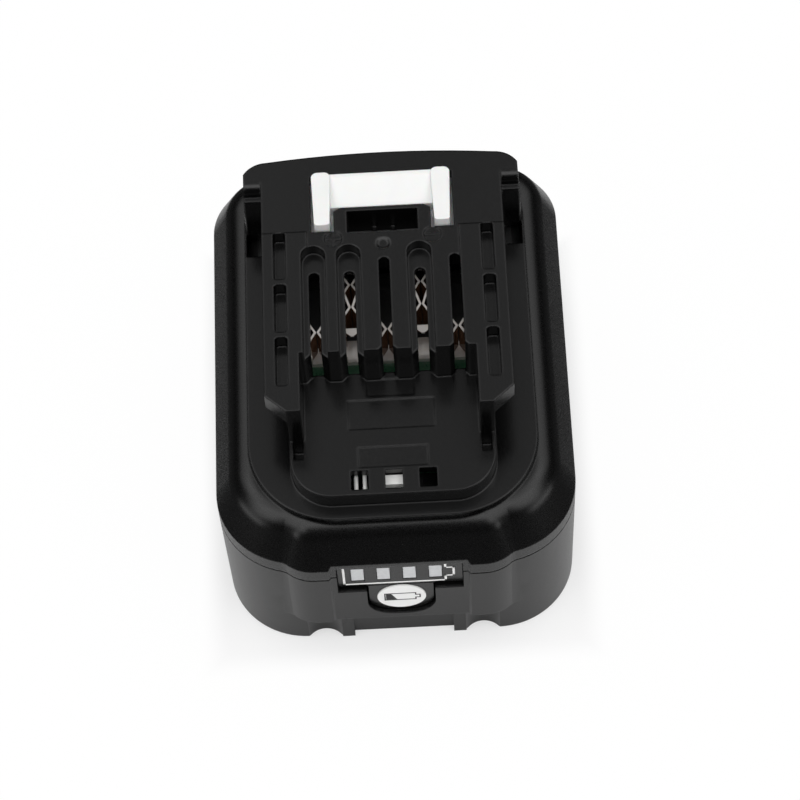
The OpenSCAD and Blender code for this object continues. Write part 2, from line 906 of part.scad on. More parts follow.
module latch_hook() color(white) {
    rise([latch_plate_z, latch_plate_top])
        latch_room_plan(0.6);
    for (side = [0, 1])
        mirror([side, 0, 0])
            rise([latch_plate_z, post_top])
                intersection() {
                    polygon([
                        [post_x[0] + post_taper, post_y[0]], [post_x[1] - post_taper, post_y[0]],
                        [post_x[1], post_y[1]], [post_x[0], post_y[1]],
                    ]);
                    rounded_square(post_x, post_y, post_r);
                }
    along_x([-post_x[0] - cut, post_x[0] + cut])
        polygon([
            [bar_y[0], latch_plate_z], [bar_y[1], latch_plate_z], [bar_y[1], post_top - 0.2],
            [bar_y[1] - 0.8, post_top - 0.2], [bar_y[0], block_top - bar_drop],
        ]);
    box([-arm_half_x, arm_half_x], [bar_y[0] + cut, latch_room_y[1] - cut], [arm_z[0], latch_plate_z + cut]);
    box([-arm_half_x, arm_half_x], [bar_y[0] + cut, thumb_y[1] - thumb_skin], arm_z);
}

module release_button() color(black) {
    r = 1;
    grip = 0.5;
    difference() {
        along_x([-thumb_x, thumb_x])
            rounded_square(thumb_y, thumb_z, r);
        box([-arm_half_x - fit, arm_half_x + fit], [thumb_y[0] - cut, thumb_y[1] - thumb_skin + fit],
            [arm_z[0] - fit, arm_z[1] + fit]);
        for (i = [0:2])
            along_x([-thumb_x - cut, thumb_x + cut])
                translate([thumb_y[1] + 0.15, thumb_z[0] + thumb_h * (i + 1) / 4])
                    circle(grip);
    }
}

module spring_seat() color(black) {
    rise([roof_z, deck_z])
        latch_room_plan(fit);
    for (side = [-1, 1])
        translate([side * spring_at[0], spring_at[1], deck_z - 0.5])
            cylinder(h = 2, r = spring_r - spring_wire_r - 0.3);
}

// One wound spring that stands on z = 0
module coil(h) {
    sides = 6;
    per_turn = 16;
    rings = spring_turns * per_turn;
    climb = h - 2 * spring_wire_r;
    points = [
        for (i = [0:rings], k = [0:sides - 1])
            let (turn = 360 * i / per_turn, ring = 360 * k / sides, r = spring_r + spring_wire_r * cos(ring))
                [r * cos(turn), r * sin(turn), spring_wire_r * (1 + sin(ring)) + climb * i / rings]
    ];
    walls = [
        for (i = [0:rings - 1], k = [0:sides - 1])
            let (n = (k + 1) % sides, a = i * sides, b = (i + 1) * sides)
                [a + k, b + k, b + n, a + n]
    ];
    first = [for (k = [0:sides - 1]) k];
    last = [for (k = [0:sides - 1]) rings * sides + sides - 1 - k];
    polyhedron(points = points, faces = concat(walls, [first, last]));
}

module latch_spring(side) color(metal) {
    translate([side * spring_at[0], spring_at[1], deck_z])
        coil(latch_plate_z - deck_z);
}

// Charge gauge

module window_row(w, h, y) {
    for (i = windows)
        box([window_x0 + i * window_pitch - w / 2, window_x0 + i * window_pitch + w / 2], y,
            [window_z - h / 2, window_z + h / 2]);
}

module gauge_bezel() color(black) {
    difference() {
        box([-bar_x + fit, bar_x - fit], [gauge_face, bezel_back], [tongue_z[1], bar_z[1] - fit]);
        window_row(window_w, window_h, [gauge_face - cut, bezel_back + cut]);
    }
}

module gauge_lens() color(white) {
    window_row(window_w - 2 * fit, window_h - 2 * fit, [gauge_face + fit, bay_y + lens_t]);
    x = windows[3] * window_pitch + window_w / 2 + 0.9;
    z = window_h / 2 + 0.8;
    box([window_x0 - x, window_x0 + x], [bay_y, bay_y + lens_t], [window_z - z, window_z + z]);
}

module check_button() color(black) {
    along_y([gauge_face, flange_y + flange_t])
        tongue_plan(clear);
    x = tongue_x + flange_rim;
    box([-x, x], [flange_y, flange_y + flange_t], [bay_z[0] + clear, disc_z + 4]);
    translate([0, flange_y + flange_t, disc_z])
        rotate([-90, 0, 0])
            cylinder(h = gauge_board_y - switch_h - 0.5 - flange_y - flange_t, r = plunger_r);
}

module button_disc() color(white) {
    translate([0, gauge_face, disc_z])
        rotate([90, 0, 0])
            cylinder(h = disc_t, r = disc_d / 2);
}

module gauge_board() color(green) {
    box([-gauge_board_x, gauge_board_x], [gauge_board_y, gauge_board_y + gauge_board_t], gauge_board_z);
}

module gauge_leds() color(white) {
    window_row(led_size[0], led_size[2], [gauge_board_y - led_size[1], gauge_board_y]);
}

module switch_body() color(metal) {
    s = switch_size / 2;
    difference() {
        box([-s, s], [gauge_board_y - switch_h, gauge_board_y], [disc_z - s, disc_z + s]);
        translate([0, gauge_board_y - 0.15, disc_z])
            rotate([90, 0, 0])
                cylinder(h = switch_h, r = plunger_r + 0.2);
    }
}

module switch_plunger() color(black) {
    translate([0, gauge_board_y - 0.15 - button_travel - 0.05, disc_z])
        rotate([90, 0, 0])
            cylinder(h = switch_h + 0.3 - button_travel, r = plunger_r);
}

// Main board, terminals and gauge lead

module main_board() color(green) {
    difference() {
        union() {
            box([-board_x, board_x], [board_y0, board_y1], [board_z, board_top]);
            box([-tongue_board_x, tongue_board_x], [socket_y, board_y0 + cut], [board_z, board_top]);
        }
        for (side = [-1, 1])
            translate([side * board_screw_at[0], board_screw_at[1], board_z - cut])
                cylinder(h = board_t + 2 * cut, r = 1.1);
    }
}

module board_chips() color(black) {
    y1 = carrier_y0 - chip_gap;
    box([-chip[0] - chip_gap / 2, -chip_gap / 2], [y1 - chip[1], y1], [board_top, board_top + chip[2]]);
    box([chip_gap / 2, chip[0] + chip_gap / 2], [y1 - chip[1], y1], [board_top, board_top + chip[2]]);
    for (i = windows)
        translate([i * chip_pitch, y1 - chip[1] - chip_gap, board_top])
            box([-small_chip[0] / 2, small_chip[0] / 2], [-small_chip[1], 0], [0, small_chip[2]]);
    box([-tongue_board_x, tongue_board_x], [socket_y + socket[1] + fit, board_y0 + chip_gap],
        [board_top, board_top + chip[2]]);
}

module terminal_carrier() color(black) {
    difference() {
        box([-board_x + clear, board_x - clear], [carrier_y0, board_y1 - clear],
            [board_top, board_top + carrier_h]);
        for (i = slot_columns) {
            x = [i * slot_pitch - carrier_slot_w / 2, i * slot_pitch + carrier_slot_w / 2];
            box(x, [carrier_y0 - cut, board_y1 - clear - carrier_back_t],
                [board_top + carrier_floor_t, board_top + carrier_h + cut]);
            box(x, [carrier_y0 - cut, tail_y[1]], [board_top - cut, board_top + carrier_h]);
        }
    }
}

// Plan of one bent leaf through the points of its middle line
module leaf_plan(points) {
    for (i = [0:len(points) - 2]) {
        a = points[i];
        d = points[i + 1] - a;
        translate(a)
            rotate(atan2(d[1], d[0]))
                translate([0, -contact_t / 2])
                    square([norm(d), contact_t]);
    }
    for (p = points)
        translate(p)
            circle(contact_t / 2);
}

// A contact pinches the tool's blade at each place in pinches; its leaves reach forward to leaf_end
module contact(i, pinches, leaf_end) color(copper) {
    far = leaf_spread;
    near = leaf_gap + contact_t / 2;
    floor_z = board_top + carrier_floor_t;
    points = concat(
        [[far, pinches[0] + leaf_bow]],
        [for (y = pinches) each [[near, y], [far, y - leaf_bow]]],
        [[far, leaf_end]]
    );
    translate([slot_columns[i] * slot_pitch, 0, 0]) {
        for (side = [0, 1])
            mirror([side, 0, 0]) {
                rise([floor_z, board_top + leaf_h])
                    leaf_plan(points);
                box([far - contact_t / 2, far + contact_t / 2], [tail_y[0], leaf_end],
                    [floor_z, floor_z + leaf_foot_h]);
            }
        box([-far - contact_t / 2, far + contact_t / 2], tail_y, [board_top, floor_z + foot_t]);
        children();
    }
}

module power_contact(i) {
    contact(i, power_pinches, power_leaf_end) {
        rise([board_top + carrier_floor_t, board_top + carrier_floor_t + foot_t])
            translate([-leaf_spread, tail_y[1] - foot_t])
                square([2 * leaf_spread, power_foot_l + foot_t]);
        rise([board_top + strap_h, board_top + strap_h + contact_t])
            polygon([
                [-leaf_spread, power_leaf_end + 1.6], [-leaf_spread, power_leaf_end + 0.8],
                [-0.3, power_leaf_end], [0.3, power_leaf_end],
                [leaf_spread, power_leaf_end + 0.8], [leaf_spread, power_leaf_end + 1.6],
            ]);
    }
}

module signal_contact(i) {
    contact(i, signal_pinches, signal_leaf_end)
        rise([board_top + carrier_floor_t, board_top + carrier_floor_t + foot_t])
            polygon([
                [-leaf_spread, tail_y[1] - foot_t], [leaf_spread, tail_y[1] - foot_t],
                [leaf_spread, tail_y[1]], [0, tail_y[1] + signal_foot_l], [-leaf_spread, tail_y[1]],
            ]);
}

// Thin wire through the points, with few sides
module wire(points, r) {
    $fn = 10;
    for (i = [0:len(points) - 2]) {
        a = points[i];
        d = points[i + 1] - a;
        translate(a)
            rotate([0, acos(d[2] / norm(d)), atan2(d[1], d[0])])
                cylinder(h = norm(d), r = r);
    }
    for (p = points)
        translate(p)
            sphere(r);
}

module board_socket() color(white) {
    box([-socket[0] / 2, socket[0] / 2], [socket_y, socket_y + socket[1]],
        [board_top, board_top + socket[2]]);
}

module gauge_lead() color(white) {
    back = gauge_board_y + gauge_board_t;
    drop_z = roof_z - lead_drop;
    wire([
        [lead_x[0], lead_start, lead_z], [lead_x[0], lead_y, lead_z], [lead_x[0], lead_y, drop_z],
        [lead_x[0], back + 1, lead_end_z], [lead_x[0], back + lead_r, lead_end_z],
    ], lead_r);
    wire([
        [lead_x[1], lead_start, lead_z], [lead_x[1], lead_y, lead_z], [lead_x[2], lead_y, lead_z],
        [lead_x[2], lead_y, drop_z], [lead_x[2], back + 1, lead_end_z],
        [lead_x[2], back + lead_r, lead_end_z],
    ], lead_r);
}

module thermistor() color(black) {
    at = [-cell_pitch / 2, board_y1 - 12, high_z + cell_r - 1.5];
    translate(at)
        sphere(1.2);
    for (side = [-1, 1])
        translate([at[0] + 0.5 * side, at[1], at[2]])
            cylinder(h = board_z - at[2], r = 0.25);
}

// Cells and what holds and joins them

module cell_body() {
    cap_h = 0.9;
    can_l = cell_l - cap_h;
    rotate_extrude()
        polygon([
            [0, 0], [cell_r - 0.4, 0], [cell_r, 0.4], [cell_r, can_l - 3.6], [cell_r - 0.5, can_l - 3.1],
            [cell_r - 0.5, can_l - 2.5], [cell_r, can_l - 2], [cell_r, can_l - 0.4], [cell_r - 0.4, can_l],
            [3.4, can_l], [3.1, cell_l], [0, cell_l],
        ]);
}

module cell(i) color(sleeve) {
    column = columns[i % 3];
    cap_front = column != 0;
    translate([column * cell_pitch, cap_front ? cell_y1 : cell_y0, layers[floor(i / 3)]])
        rotate([cap_front ? 90 : -90, 0, 0])
            cell_body();
}

module cell_circles(r) {
    for (column = columns)
        for (z = layers)
            translate([column * cell_pitch, z])
                circle(r);
}

module cell_holder(y) {
    along_y(y)
        difference() {
            union() {
                cell_circles(cell_r + holder_rim);
                translate([-cell_pitch, low_z])
                    square([2 * cell_pitch, cell_pitch]);
            }
            cell_circles(cell_r + fit / 2);
            translate([-half_w, holder_top])
                square([2 * half_w, cell_r]);
        }
}

module cell_holder_front() color(black) {
    cell_holder([cell_y0, cell_y0 + holder_l]);
    for (side = [-1, 1])
        translate([side * board_screw_at[0], board_screw_at[1], high_z])
            difference() {
                cylinder(h = board_z - high_z, r = 2.2);
                translate([0, 0, board_z - high_z - 6])
                    cylinder(h = 6 + cut, r = 1 + shank_gap);
                for (edge = [-1, 1])
                    translate([edge * cell_pitch / 2, 5, 0])
                        rotate([90, 0, 0])
                            cylinder(h = 10, r = cell_r + fit / 2);
            }
}

module cell_holder_rear() color(black) {
    cell_holder([cell_y1 - holder_l, cell_y1]);
    rest_z = high_z + cell_r - rest_sink;
    for (side = [-1, 1]) {
        x = side * cell_pitch / 2 - rest_x;
        box([x, x + rest_w], [board_y1 - rest_l, board_y1], [rest_z, board_z]);
        box([x, x + rest_w], [board_y1 - rest_l, cell_y1 - holder_l / 2], [rest_z, holder_top + fit]);
    }
}

module end_strip(from, to, y) {
    along_y(y)
        rounded_square([from * cell_pitch - strip_w / 2, to * cell_pitch + strip_w / 2],
                       [low_z - strip_w / 2, high_z + strip_w / 2], 2);
}

// Tab from a front strip up and over the edge of the main board
module front_tab(x) {
    top = board_top + strip_t;
    y = cell_y0 - strip_t;
    box([x - tab_w / 2, x + tab_w / 2], [y, cell_y0], [high_z, top]);
    box([x - tab_w / 2, x + tab_w / 2], [y, board_y0 + 2], [board_top, top]);
}

// Tab from a rear strip along the valley between two cells to the main board
module rear_tab(x) {
    z = high_z + cell_r - 1.4;
    y = board_y1 - 2;
    box([x - tab_w / 2, x + tab_w / 2], [y, cell_y1 + strip_t], [z, z + strip_t]);
    box([x - tab_w / 2, x + tab_w / 2], [y, y + strip_t], [z, board_z]);
    box([x - tab_w / 2, x + tab_w / 2], [cell_y1, cell_y1 + strip_t], [high_z, z + strip_t]);
}

module strip_negative() color(metal) {
    end_strip(-1, -1, [cell_y1, cell_y1 + strip_t]);
    box([-cell_pitch, -cell_pitch / 2 + tab_w / 2], [cell_y1, cell_y1 + strip_t],
        [high_z, high_z + strip_w / 2]);
    rear_tab(-cell_pitch / 2);
}

module strip_link_front() color(metal) {
    end_strip(-1, 0, [cell_y0 - strip_t, cell_y0]);
    front_tab(-cell_pitch / 2 - 2);
}

module strip_link_rear() color(metal) {
    end_strip(0, 1, [cell_y1, cell_y1 + strip_t]);
    rear_tab(cell_pitch / 2);
}

module strip_positive() color(metal) {
    end_strip(1, 1, [cell_y0 - strip_t, cell_y0]);
    box([cell_pitch / 2 + 1, cell_pitch], [cell_y0 - strip_t, cell_y0], [high_z, high_z + strip_w / 2]);
    front_tab(cell_pitch / 2 + 1 + tab_w / 2);
}

module insulator(y) {
    x = cell_pitch + cell_r - 1;
    along_y(y)
        rounded_square([-x, x], [low_z - cell_r + 1, high_z + cell_r - sheet_gap], 6);
}

module insulator_front() color(paper) {
    insulator([cell_y0 - strip_t - sheet_t, cell_y0 - strip_t]);
}

module insulator_rear() color(paper) {
    insulator([cell_y1 + strip_t, cell_y1 + strip_t + sheet_t]);
}

// Screws

module cross_drive(r, depth) {
    w = r * 0.28;
    for (turn = [0, 90])
        rotate(turn)
            translate([-r * 0.65, -w / 2, -cut])
                cube([r * 1.3, w, depth + cut]);
}

module housing_screw(i) color(metal) {
    translate([screw_at[i][0], screw_at[i][1], screw_seat_z - screw_head_h])
        difference() {
            union() {
                cylinder(h = screw_head_h, r = screw_head_r);
                cylinder(h = screw_tip - screw_seat_z + screw_head_h, r = screw_r);
            }
            cross_drive(screw_head_r, 1.1);
        }
}

module board_screw(side) color(metal) {
    translate([side * board_screw_at[0], board_screw_at[1], board_top])
        rotate([180, 0, 0])
            difference() {
                union() {
                    translate([0, 0, -1])
                        cylinder(h = 1, r = 1.9);
                    cylinder(h = board_t + 5, r = 1);
                }
                translate([0, 0, -1])
                    cross_drive(1.9, 0.5);
            }
}

upper_housing();
lower_housing();
latch_hook();
release_button();
spring_seat();
latch_spring(-1);  // latch_spring_left
latch_spring(1);  // latch_spring_right
gauge_bezel();
gauge_lens();
check_button();
button_disc();
gauge_board();
gauge_leds();
switch_body();
switch_plunger();
main_board();
board_chips();
terminal_carrier();
signal_contact(0);  // contact_1
power_contact(1);  // contact_2
signal_contact(2);  // contact_3
power_contact(3);  // contact_4
signal_contact(4);  // contact_5
board_socket();
gauge_lead();
thermistor();
for (i = [0:5])
    cell(i);
cell_holder_front();
cell_holder_rear();
strip_negative();
strip_link_front();
strip_link_rear();
strip_positive();
insulator_front();
insulator_rear();
for (i = [0:3])
    housing_screw(i);
board_screw(-1);  // board_screw_1
board_screw(1);  // board_screw_2
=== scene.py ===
# Looks of the battery pack: materials, copies of the latch springs, printed marks, light and camera.
import json
import math

import bmesh
import bpy
from mathutils import Matrix, Vector


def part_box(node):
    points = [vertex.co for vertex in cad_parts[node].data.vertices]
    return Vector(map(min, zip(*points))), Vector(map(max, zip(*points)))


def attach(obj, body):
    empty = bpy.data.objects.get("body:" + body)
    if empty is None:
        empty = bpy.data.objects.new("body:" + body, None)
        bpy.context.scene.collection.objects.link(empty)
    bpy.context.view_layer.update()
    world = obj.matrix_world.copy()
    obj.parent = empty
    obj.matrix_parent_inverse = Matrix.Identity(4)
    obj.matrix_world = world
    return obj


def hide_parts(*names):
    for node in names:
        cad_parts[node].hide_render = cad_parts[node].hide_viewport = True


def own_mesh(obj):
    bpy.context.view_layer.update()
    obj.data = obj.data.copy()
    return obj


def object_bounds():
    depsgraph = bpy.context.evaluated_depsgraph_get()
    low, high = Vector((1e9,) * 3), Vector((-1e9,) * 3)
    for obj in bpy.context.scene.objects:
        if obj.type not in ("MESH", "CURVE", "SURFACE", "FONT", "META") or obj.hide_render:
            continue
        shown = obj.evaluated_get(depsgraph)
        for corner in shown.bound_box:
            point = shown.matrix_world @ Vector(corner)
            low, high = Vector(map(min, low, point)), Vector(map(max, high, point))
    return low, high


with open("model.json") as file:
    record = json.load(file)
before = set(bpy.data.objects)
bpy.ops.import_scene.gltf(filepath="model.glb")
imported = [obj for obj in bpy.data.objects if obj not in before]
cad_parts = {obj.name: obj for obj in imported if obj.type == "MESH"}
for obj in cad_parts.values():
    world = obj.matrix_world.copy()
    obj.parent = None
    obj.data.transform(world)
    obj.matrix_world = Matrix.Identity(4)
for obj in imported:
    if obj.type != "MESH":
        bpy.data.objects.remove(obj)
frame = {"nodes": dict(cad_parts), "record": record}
cad_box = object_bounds()
nodes = frame["nodes"]
scene = bpy.context.scene

MM = 0.001

# Camera: long lens, from the gauge side and above, turned a little in its mount
LENS_MM = 135.0
SENSOR_MM = 36.0
CAMERA_TARGET = Vector((1.446, -6.4, 30.0)) * MM
CAMERA_DISTANCE = 561.137 * MM
CAMERA_AZIMUTH = math.radians(1.452)
CAMERA_ELEVATION = math.radians(60.5)
CAMERA_ROLL = math.radians(4.187)


def add_camera():
    a, e, roll = CAMERA_AZIMUTH, CAMERA_ELEVATION, CAMERA_ROLL
    back = Vector((math.sin(a) * math.cos(e), -math.cos(a) * math.cos(e), math.sin(e)))
    right = Vector((math.cos(a), math.sin(a), 0.0))
    up = back.cross(right)
    image_right = math.cos(roll) * right - math.sin(roll) * up
    image_up = math.sin(roll) * right + math.cos(roll) * up
    data = bpy.data.cameras.new("camera")
    data.lens = LENS_MM
    data.sensor_width = SENSOR_MM
    camera = bpy.data.objects.new("camera", data)
    turn = Matrix((image_right, image_up, back)).transposed().to_4x4()
    camera.matrix_world = Matrix.Translation(CAMERA_TARGET + back * CAMERA_DISTANCE) @ turn
    scene.collection.objects.link(camera)
    scene.camera = camera


# Materials


def add_node(tree, kind, at, **inputs):
    node = tree.nodes.new(kind)
    node.location = at
    for name, value in inputs.items():
        node.inputs[name.replace("_", " ")].default_value = value
    return node


def mix_colours(tree, factor, first, second, at):
    """Colour between two, each of which is a socket or a plain colour."""
    mix = tree.nodes.new("ShaderNodeMix")
    mix.data_type = "RGBA"
    mix.location = at
    for name, colour in (("A", first), ("B", second)):
        if isinstance(colour, bpy.types.NodeSocket):
            tree.links.new(colour, mix.inputs[name])
        else:
            mix.inputs[name].default_value = (*colour, 1.0)
    tree.links.new(factor, mix.inputs["Factor"])
    return mix.outputs["Result"]


# Part of the span from 0 to 1 in which a mapped value goes from its low to its high end
MAP_START = 0.3
MAP_STOP = 0.7


def map_range(tree, value, low, high, at):
    ramp = add_node(tree, "ShaderNodeMapRange", at,
                    From_Min=MAP_START, From_Max=MAP_STOP, To_Min=low, To_Max=high)
    tree.links.new(value, ramp.inputs["Value"])
    return ramp.outputs["Result"]


def join(tree, operation, first, second, at):
    """One number from two, each of which is a socket or a plain value."""
    node = add_node(tree, "ShaderNodeMath", at)
    node.operation = operation
    for socket, value in zip(node.inputs, (first, second)):
        if isinstance(value, bpy.types.NodeSocket):
            tree.links.new(value, socket)
        else:
            socket.default_value = value
    return node.outputs[0]


EDGE_SAMPLES = 6
MOTTLE_DETAIL = 4.0
GRAIN_DETAIL = 2.0
# Where a surface is smoother, what its roughness loses and the share of its grain height that goes
SMOOTH_GLOSS = 0.08
SMOOTH_GRAIN = 0.4


def surface(name, dark, light, rough, grain_mm, grain_height_mm, mottle_mm=6.0, edge_mm=0.0, flanks=None,
            smooth_above_mm=None, **sockets):
    """Shader with slow colour variation, uneven gloss, a fine raised grain and edges that catch the light.

    flanks, where given, is painted shade: a darker colour on faces that look to the left or right. Above the
    height smooth_above_mm the surface is glossier and its grain is lower. edge_mm is the radius of an edge."""
    material = bpy.data.materials.new(name)
    material.use_nodes = True
    tree = material.node_tree
    shader = tree.nodes["Principled BSDF"]
    for socket, value in sockets.items():
        shader.inputs[socket.replace("_", " ")].default_value = value
    place = add_node(tree, "ShaderNodeTexCoord", (-1100, 0)).outputs["Object"]
    mottle = add_node(tree, "ShaderNodeTexNoise", (-850, 250),
                      Scale=1 / (mottle_mm * MM), Detail=MOTTLE_DETAIL)
    grain = add_node(tree, "ShaderNodeTexNoise", (-850, -250),
                     Scale=1 / (grain_mm * MM), Detail=GRAIN_DETAIL)
    for texture in (mottle, grain):
        tree.links.new(place, texture.inputs["Vector"])
    colour = mix_colours(tree, mottle.outputs["Fac"], dark, light, (-500, 300))
    # Painted shade: faces that look to the left or right take the darker flank colour
    if flanks:
        normal = add_node(tree, "ShaderNodeNewGeometry", (-1100, 600)).outputs["Normal"]
        axes = add_node(tree, "ShaderNodeSeparateXYZ", (-850, 600))
        tree.links.new(normal, axes.inputs["Vector"])
        sideways = join(tree, "ABSOLUTE", axes.outputs["X"], 0.0, (-650, 600))
        flank_shading = map_range(tree, sideways, 0.0, 1.0, (-500, 600))
        colour = mix_colours(tree, flank_shading, colour, flanks, (-300, 400))
    tree.links.new(colour, shader.inputs["Base Color"])
    gloss = map_range(tree, grain.outputs["Fac"], rough[0], rough[1], (-500, 0))
    bump = add_node(tree, "ShaderNodeBump", (-300, -250), Strength=1.0, Distance=grain_height_mm * MM)
    if smooth_above_mm:
        axes = add_node(tree, "ShaderNodeSeparateXYZ", (-850, 0))
        tree.links.new(place, axes.inputs["Vector"])
        above = join(tree, "GREATER_THAN", axes.outputs["Z"], smooth_above_mm * MM, (-650, 0))
        polish = join(tree, "MULTIPLY", above, SMOOTH_GLOSS, (-500, 150))
        gloss = join(tree, "SUBTRACT", gloss, polish, (-300, 50))
        fading = join(tree, "MULTIPLY", above, SMOOTH_GRAIN, (-500, -150))
        tree.links.new(join(tree, "SUBTRACT", 1.0, fading, (-400, -150)), bump.inputs["Strength"])
    tree.links.new(gloss, shader.inputs["Roughness"])
    tree.links.new(grain.outputs["Fac"], bump.inputs["Height"])
    if edge_mm:
        edges = add_node(tree, "ShaderNodeBevel", (-550, -500), Radius=edge_mm * MM)
        edges.samples = EDGE_SAMPLES
        tree.links.new(edges.outputs["Normal"], bump.inputs["Normal"])
    tree.links.new(bump.outputs["Normal"], shader.inputs["Normal"])
    return material


# Blue of a grey as a multiple of its red and green
GREY_COOL = 1.02


def grey(level):
    return (level, level, level * GREY_COOL)


# Foot of the deck; from here up the moulding is smoother than the shoulder around it
DECK_FOOT_MM = 41.0

# Darker and lighter colour, least and greatest roughness, then the size and height of the grain
LOOKS = {
    "housing_black": dict(
        dark=grey(0.0018), light=grey(0.0026), rough=(0.22, 0.34), grain_mm=0.22, grain_height_mm=0.010,
        edge_mm=0.5, smooth_above_mm=DECK_FOOT_MM, Specular_IOR_Level=0.4),
    "tray_black": dict(
        dark=grey(0.0022), light=grey(0.0030), rough=(0.20, 0.28), grain_mm=0.22, grain_height_mm=0.004,
        edge_mm=0.3, Specular_IOR_Level=0.4),
    "trim_black": dict(
        dark=grey(0.0022), light=grey(0.0030), rough=(0.20, 0.28), grain_mm=0.25, grain_height_mm=0.003,
        edge_mm=0.15),
    "inner_black": dict(
        dark=grey(0.010), light=grey(0.016), rough=(0.4, 0.6), grain_mm=0.3, grain_height_mm=0.006),
    "latch_white": dict(
        dark=(0.80, 0.80, 0.79), light=(0.86, 0.86, 0.85), rough=(0.30, 0.42), grain_mm=0.4,
        grain_height_mm=0.003, edge_mm=0.3, Subsurface_Weight=0.15, Subsurface_Scale=0.6 * MM),
    "print_white": dict(
        dark=(0.84, 0.84, 0.83), light=(0.90, 0.90, 0.89), rough=(0.45, 0.6), grain_mm=0.12,
        grain_height_mm=0.002),
    "lens": dict(
        dark=(0.50, 0.51, 0.52), light=(0.66, 0.67, 0.68), rough=(0.35, 0.5), grain_mm=0.18,
        grain_height_mm=0.01, mottle_mm=0.5),
    "nylon_white": dict(
        dark=(0.78, 0.78, 0.76), light=(0.86, 0.86, 0.84), rough=(0.4, 0.5), grain_mm=0.3,
        grain_height_mm=0.004),
    "wire_white": dict(
        dark=(0.80, 0.80, 0.78), light=(0.88, 0.88, 0.87), rough=(0.3, 0.4), grain_mm=0.3,
        grain_height_mm=0.003),
    "board_green": dict(
        dark=(0.010, 0.075, 0.030), light=(0.016, 0.105, 0.045), rough=(0.25, 0.4), grain_mm=0.4,
        grain_height_mm=0.006, mottle_mm=1.5),
    # Contacts: the near-white colour is partly the plating and partly a painted glint on the leaf edges; the
    # brown flank colour is painted shade on the leaf sides
    "contact_copper": dict(
        dark=(0.90, 0.80, 0.70), light=(1.0, 1.0, 1.0), rough=(0.12, 0.22), grain_mm=0.3,
        grain_height_mm=0.001, mottle_mm=1.0, flanks=(0.17, 0.085, 0.045), Metallic=0.3),
    "spring_steel": dict(
        dark=(0.50, 0.50, 0.51), light=(0.62, 0.62, 0.63), rough=(0.22, 0.35), grain_mm=0.2,
        grain_height_mm=0.002, Metallic=1.0),
    "screw_steel": dict(
        dark=(0.20, 0.20, 0.21), light=(0.30, 0.30, 0.31), rough=(0.3, 0.45), grain_mm=0.2,
        grain_height_mm=0.003, Metallic=1.0),
    "nickel": dict(
        dark=(0.62, 0.60, 0.56), light=(0.70, 0.68, 0.64), rough=(0.25, 0.4), grain_mm=0.3,
        grain_height_mm=0.003, Metallic=1.0),
    "cell_sleeve": dict(
        dark=(0.012, 0.10, 0.17), light=(0.018, 0.13, 0.21), rough=(0.25, 0.35), grain_mm=0.8,
        grain_height_mm=0.006),
    "paper": dict(
        dark=(0.52, 0.46, 0.30), light=(0.62, 0.56, 0.40), rough=(0.7, 0.85), grain_mm=0.12,
        grain_height_mm=0.006),
    "ink_black": dict(
        dark=grey(0.010), light=grey(0.016), rough=(0.5, 0.6), grain_mm=0.2, grain_height_mm=0.002),
}
SURFACES = {name: surface(name, **look) for name, look in LOOKS.items()}

# The lower housing is smoother than the upper one
OWN_SURFACE = {"lower_housing": "tray_black"}


def dress_nodes():
    for part in frame["record"]["subparts"]:
        name = part["node"]
        mesh = nodes[name].data
        mesh.materials.clear()
        mesh.materials.append(SURFACES[OWN_SURFACE.get(name, part["material_slot"])])


# Latch springs: copies of their meshes ride the pack in place of the CAD parts


def add_springs():
    for side in ("left", "right"):
        node = f"latch_spring_{side}"
        coil = bpy.data.objects.new(f"latch_coil_{side}", nodes[node].data.copy())
        scene.collection.objects.link(coil)
        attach(coil, "pack")
        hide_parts(node)
        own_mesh(coil)


# Printed marks: thin raised ink on the gauge

INK_MM = 0.03


def ink(name, outlines, face_y, material, body):
    """Flat ink in front of a face that looks towards -Y; outlines are X and Z in millimetres."""
    mesh = bpy.data.meshes.new(name)
    shape = bmesh.new()
    for outline in outlines:
        front = [shape.verts.new((x * MM, face_y - INK_MM * MM, z * MM)) for x, z in outline]
        rear = [shape.verts.new((x * MM, face_y, z * MM)) for x, z in outline]
        shape.faces.new(front)
        shape.faces.new(rear[::-1])
        count = len(outline)
        for i in range(count):
            j = (i + 1) % count
            shape.faces.new((front[j], front[i], rear[i], rear[j]))
    bmesh.ops.recalc_face_normals(shape, faces=shape.faces)
    shape.to_mesh(mesh)
    shape.free()
    mesh.materials.append(SURFACES[material])
    piece = bpy.data.objects.new(name, mesh)
    scene.collection.objects.link(piece)
    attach(piece, body)
    return piece


def stroke(points, width):
    """Rectangles along the lines between points, each longer by half the width at its ends."""
    half = width / 2
    bars = []
    for (x0, z0), (x1, z1) in zip(points, points[1:]):
        if x0 == x1:
            low, high = sorted((z0, z1))
            bars.append([(x0 - half, low - half), (x0 + half, low - half),
                         (x0 + half, high + half), (x0 - half, high + half)])
        else:
            low, high = sorted((x0, x1))
            bars.append([(low - half, z0 - half), (high + half, z0 - half),
                         (high + half, z0 + half), (low - half, z0 + half)])
    return bars


def battery_outline(x, z, nub, width):
    """Outline of a battery with a nub at its right end."""
    middle = (z[0] + z[1]) / 2
    half = nub[1] / 2
    return stroke([
        (x[0], z[0]), (x[1], z[0]), (x[1], middle - half), (x[1] + nub[0], middle - half),
        (x[1] + nub[0], middle + half), (x[1], middle + half), (x[1], z[1]), (x[0], z[1]), (x[0], z[0]),
    ], width)


# Battery outline round the windows: spans in X and Z, length and height of the nub, width of the line
GAUGE_X_MM = (-10.3, 8.3)
GAUGE_Z_MM = (23.3, 30.2)
GAUGE_NUB_MM = (1.5, 3.2)
GAUGE_LINE_MM = 0.42

